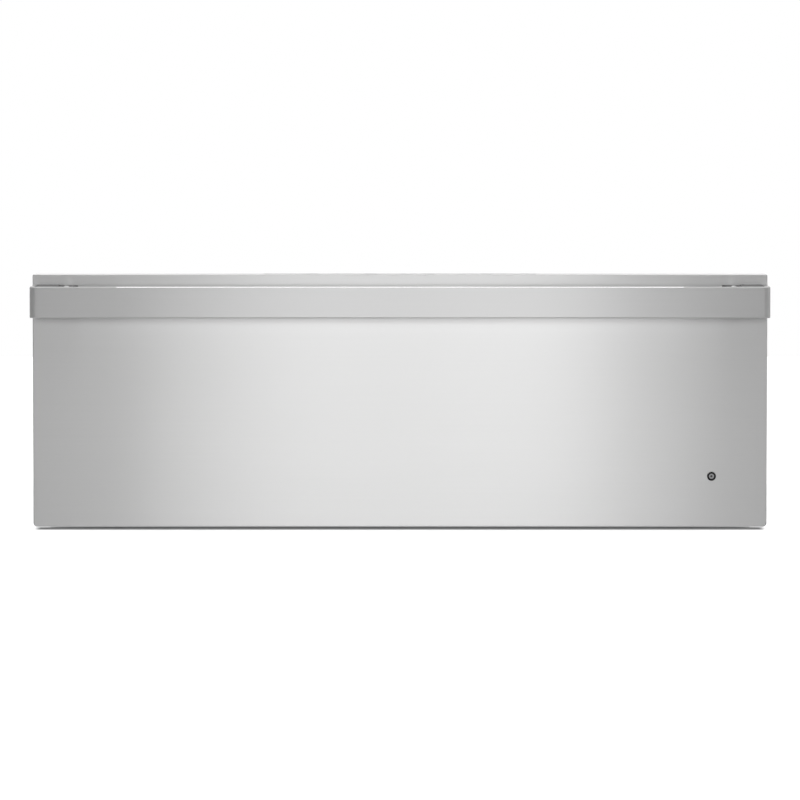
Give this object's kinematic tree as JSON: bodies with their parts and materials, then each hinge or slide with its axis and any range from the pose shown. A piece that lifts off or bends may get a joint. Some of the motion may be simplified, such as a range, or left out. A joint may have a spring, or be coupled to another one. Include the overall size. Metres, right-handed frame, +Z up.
{
  "type": "built-in warming drawer",
  "caption": "Built-in warming drawer: insulated steel casing, heated pan on full-extension ball slides, brushed stainless front with full-width strap handle and small indicator light.",
  "frame": {"origin": "middle of the width and of the whole depth, on the surface that the base runners stand on", "axes": "+X right, +Y back into the cabinet, +Z up; the drawer front faces -Y"},
  "size_m": [0.7556, 0.664, 0.2628],
  "materials": {
    "galvanised_steel": "zinc-coated sheet, faint spangle, satin",
    "liner_steel": "ferritic stainless sheet, satin",
    "insulation_wool": "mineral wool batt",
    "gasket_silicone": "black silicone, matt",
    "heater_sheath": "oxidised alloy sheath, satin",
    "plated_steel": "zinc-plated, semi-bright",
    "plated_screws": "zinc-plated, bright",
    "circuit_board": "green solder mask",
    "black_plastic": "moulded, fine texture",
    "lever_plastic": "moulded, satin",
    "brushed_stainless": "fine horizontal brushed grain",
    "polished_feet": "polished",
    "bezel_black": "gloss",
    "lens_smoke": "grey diffusing lens",
    "lamp_dark": "unlit lamp",
    "black_glass": "back-painted glass strip, polished",
    "key_black": "gloss caps, plain",
    "light_pipe": "clear light pipe, unlit",
    "rail_steel": "folded stainless, satin",
    "pan_stainless": "drawn stainless, satin",
    "rack_chrome": "chromed wire"
  },
  "bodies": {
    "casing": {"base_pan": "galvanised_steel", "base_runners": "galvanised_steel", "side_panel_left": "galvanised_steel", "side_panel_right": "galvanised_steel", "top_cover": "galvanised_steel", "front_frame": "liner_steel", "rear_cover": "galvanised_steel", "rear_bulkhead": "galvanised_steel", "cavity_floor": "liner_steel", "cavity_wall_left": "liner_steel", "cavity_wall_right": "liner_steel", "cavity_ceiling": "liner_steel", "cavity_rear_wall": "liner_steel", "insulation_floor": "insulation_wool", "insulation_sides": "insulation_wool", "insulation_top": "insulation_wool", "insulation_rear": "insulation_wool", "door_gasket": "gasket_silicone", "heating_element": "heater_sheath", "element_clips": "plated_steel", "temperature_sensor": "heater_sheath", "thermal_cutout": "plated_steel", "control_board": "circuit_board", "terminal_block": "black_plastic", "cord_gland": "black_plastic", "outer_slides": "plated_steel", "rear_cover_screws": "plated_screws"},
    "drawer": {"front_panel": "brushed_stainless", "front_inner_panel": "liner_steel", "front_insulation": "insulation_wool", "handle_bar": "brushed_stainless", "handle_foot_left": "polished_feet", "handle_foot_right": "polished_feet", "handle_backing_plates": "plated_steel", "handle_screws": "plated_screws", "indicator_bezel": "bezel_black", "indicator_lens": "lens_smoke", "indicator_lamp": "lamp_dark", "control_fascia": "black_glass", "status_lights": "light_pipe", "control_housing": "black_plastic", "key_board": "circuit_board", "drawer_rails": "rail_steel", "rear_crossbar": "rail_steel", "rail_screws": "plated_screws", "inner_slides": "plated_steel", "drawer_pan": "pan_stainless", "pan_rack": "rack_chrome"},
    "key_1": {"key_1": "key_black"},
    "key_2": {"key_2": "key_black"},
    "key_3": {"key_3": "key_black"},
    "key_4": {"key_4": "key_black"},
    "middle_slide_left": {"middle_slide_left": "plated_steel"},
    "outer_ball_cage_left": {"outer_ball_cage_left": "plated_steel"},
    "inner_ball_cage_left": {"inner_ball_cage_left": "plated_steel"},
    "release_lever_left": {"release_lever_left": "lever_plastic"},
    "middle_slide_right": {"middle_slide_right": "plated_steel"},
    "outer_ball_cage_right": {"outer_ball_cage_right": "plated_steel"},
    "inner_ball_cage_right": {"inner_ball_cage_right": "plated_steel"},
    "release_lever_right": {"release_lever_right": "lever_plastic"}
  },
  "joints": [
    {"name": "drawer_slide", "type": "slide", "parent": "casing", "child": "drawer", "axis": [0, -1, 0], "range_m": [0, 0.46]},
    {"name": "middle_slide_left_travel", "type": "slide", "parent": "casing", "child": "middle_slide_left", "axis": [0, -1, 0], "range_m": [0, 0.23]},
    {"name": "outer_ball_cage_left_travel", "type": "slide", "parent": "casing", "child": "outer_ball_cage_left", "axis": [0, -1, 0], "range_m": [0, 0.115]},
    {"name": "inner_ball_cage_left_travel", "type": "slide", "parent": "casing", "child": "inner_ball_cage_left", "axis": [0, -1, 0], "range_m": [0, 0.345]},
    {"name": "middle_slide_right_travel", "type": "slide", "parent": "casing", "child": "middle_slide_right", "axis": [0, -1, 0], "range_m": [0, 0.23]},
    {"name": "outer_ball_cage_right_travel", "type": "slide", "parent": "casing", "child": "outer_ball_cage_right", "axis": [0, -1, 0], "range_m": [0, 0.115]},
    {"name": "inner_ball_cage_right_travel", "type": "slide", "parent": "casing", "child": "inner_ball_cage_right", "axis": [0, -1, 0], "range_m": [0, 0.345]},
    {"name": "key_1_press", "type": "slide", "parent": "drawer", "child": "key_1", "axis": [0, 0, -1], "range_m": [0, 0.001], "stiffness_N_per_m": 300},
    {"name": "key_2_press", "type": "slide", "parent": "drawer", "child": "key_2", "axis": [0, 0, -1], "range_m": [0, 0.001], "stiffness_N_per_m": 300},
    {"name": "key_3_press", "type": "slide", "parent": "drawer", "child": "key_3", "axis": [0, 0, -1], "range_m": [0, 0.001], "stiffness_N_per_m": 300},
    {"name": "key_4_press", "type": "slide", "parent": "drawer", "child": "key_4", "axis": [0, 0, -1], "range_m": [0, 0.001], "stiffness_N_per_m": 300},
    {"name": "release_lever_left_press", "type": "hinge", "parent": "drawer", "child": "release_lever_left", "pos_m": [-0.33075, -0.17795, 0.095], "axis": [1, 0, 0], "range_deg": [0, 6], "stiffness_Nm_per_rad": 0.2},
    {"name": "release_lever_right_press", "type": "hinge", "parent": "drawer", "child": "release_lever_right", "pos_m": [0.33075, -0.17795, 0.095], "axis": [1, 0, 0], "range_deg": [0, 6], "stiffness_Nm_per_rad": 0.2}
  ],
  "couplings": [
    {"joint": "middle_slide_left_travel", "follows": "drawer_slide", "ratio": 0.5},
    {"joint": "outer_ball_cage_left_travel", "follows": "drawer_slide", "ratio": 0.25},
    {"joint": "inner_ball_cage_left_travel", "follows": "drawer_slide", "ratio": 0.75},
    {"joint": "middle_slide_right_travel", "follows": "drawer_slide", "ratio": 0.5},
    {"joint": "outer_ball_cage_right_travel", "follows": "drawer_slide", "ratio": 0.25},
    {"joint": "inner_ball_cage_right_travel", "follows": "drawer_slide", "ratio": 0.75}
  ]
}
